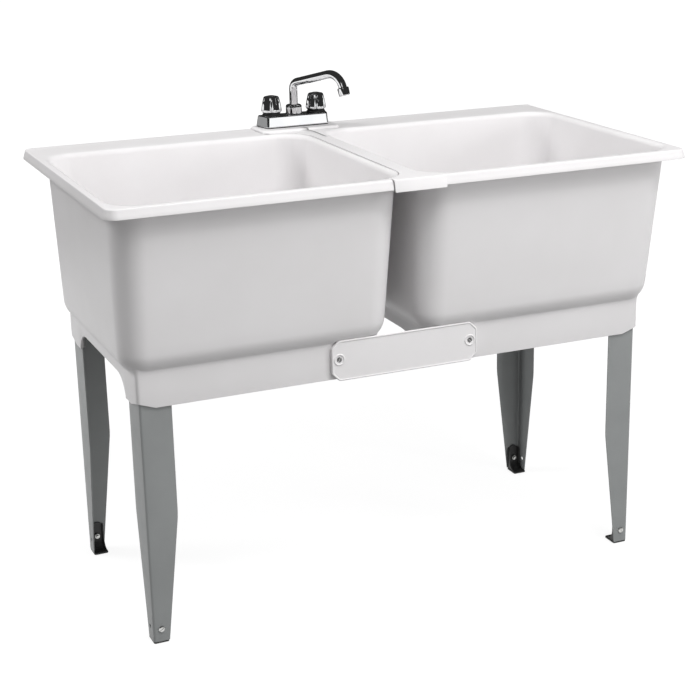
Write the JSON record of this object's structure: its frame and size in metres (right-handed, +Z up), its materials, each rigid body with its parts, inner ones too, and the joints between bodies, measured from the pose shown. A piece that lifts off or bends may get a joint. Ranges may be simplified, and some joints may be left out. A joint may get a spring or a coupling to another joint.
{
  "type": "utility laundry sink",
  "caption": "Free-standing utility sink with two deep rounded tubs joined by a lapped rim, on steel angle legs with levelling feet, with a swinging spout and knobs",
  "frame": {"origin": "on the floor, under the middle of the sink's overall box", "axes": "+X to the user's right along the two tubs, +Y to the back where the faucet is, +Z up"},
  "size_m": [1.175, 0.6556, 0.9925],
  "materials": {
    "white_plastic": "satin",
    "grey_enamel": "satin",
    "zinc_steel": "zinc plated",
    "chrome": "polished",
    "black_plastic": "satin",
    "dark_rubber": "matte"
  },
  "bodies": {
    "sink": {"left_tub": "white_plastic", "right_tub": "white_plastic", "front_joiner_plate": "white_plastic", "rear_joiner_plate": "white_plastic", "left_drain_nut": "white_plastic", "right_drain_nut": "white_plastic", "leg_front_left": "grey_enamel", "leg_front_right": "grey_enamel", "leg_back_left": "grey_enamel", "leg_back_right": "grey_enamel", "front_joiner_screw_left": "zinc_steel", "front_joiner_nut_left": "zinc_steel", "front_joiner_screw_right": "zinc_steel", "front_joiner_nut_right": "zinc_steel", "rear_joiner_screw_left": "zinc_steel", "rear_joiner_nut_left": "zinc_steel", "rear_joiner_screw_right": "zinc_steel", "rear_joiner_nut_right": "zinc_steel", "foot_screw_front_left": "zinc_steel", "foot_nut_front_left": "zinc_steel", "foot_screw_front_right": "zinc_steel", "foot_nut_front_right": "zinc_steel", "foot_screw_back_left": "zinc_steel", "foot_nut_back_left": "zinc_steel", "foot_screw_back_right": "zinc_steel", "foot_nut_back_right": "zinc_steel", "faucet_body": "chrome", "spout_nut": "chrome", "hot_escutcheon": "black_plastic", "cold_escutcheon": "black_plastic", "hot_shank_nut": "black_plastic", "cold_shank_nut": "black_plastic", "left_drain_washer": "dark_rubber", "right_drain_washer": "dark_rubber", "faucet_gasket": "dark_rubber", "spout_seal": "dark_rubber"},
    "spout": {"spout_tube": "chrome", "spout_outlet": "chrome"},
    "hot_knob": {"hot_handle": "chrome", "hot_cap": "chrome", "hot_stem": "chrome"},
    "cold_knob": {"cold_handle": "chrome", "cold_cap": "chrome", "cold_stem": "chrome"},
    "left_stopper": {"left_drain_stopper": "dark_rubber"},
    "right_stopper": {"right_drain_stopper": "dark_rubber"},
    "foot_front_left": {"foot_front_left": "black_plastic"},
    "foot_front_right": {"foot_front_right": "black_plastic"},
    "foot_back_left": {"foot_back_left": "black_plastic"},
    "foot_back_right": {"foot_back_right": "black_plastic"}
  },
  "joints": [
    {"name": "spout_swivel", "type": "hinge", "parent": "sink", "child": "spout", "pos_m": [-0.006, 0.288, 0.9], "axis": [0, 0, 1], "continuous": true},
    {"name": "hot_knob_turn", "type": "hinge", "parent": "sink", "child": "hot_knob", "pos_m": [-0.0568, 0.288, 0.9], "axis": [0, 0, 1], "range_deg": [0, 90]},
    {"name": "cold_knob_turn", "type": "hinge", "parent": "sink", "child": "cold_knob", "pos_m": [0.0448, 0.288, 0.9], "axis": [0, 0, 1], "range_deg": [0, 90]},
    {"name": "left_stopper_lift", "type": "slide", "parent": "sink", "child": "left_stopper", "axis": [0, 0, 1], "range_m": [0, 0.4]},
    {"name": "right_stopper_lift", "type": "slide", "parent": "sink", "child": "right_stopper", "axis": [0, 0, 1], "range_m": [0, 0.4]},
    {"name": "level_front_left", "type": "slide", "parent": "sink", "child": "foot_front_left", "axis": [0, 0, -1], "range_m": [0, 0.015]},
    {"name": "level_front_right", "type": "slide", "parent": "sink", "child": "foot_front_right", "axis": [0, 0, -1], "range_m": [0, 0.015]},
    {"name": "level_back_left", "type": "slide", "parent": "sink", "child": "foot_back_left", "axis": [0, 0, -1], "range_m": [0, 0.015]},
    {"name": "level_back_right", "type": "slide", "parent": "sink", "child": "foot_back_right", "axis": [0, 0, -1], "range_m": [0, 0.015]}
  ]
}
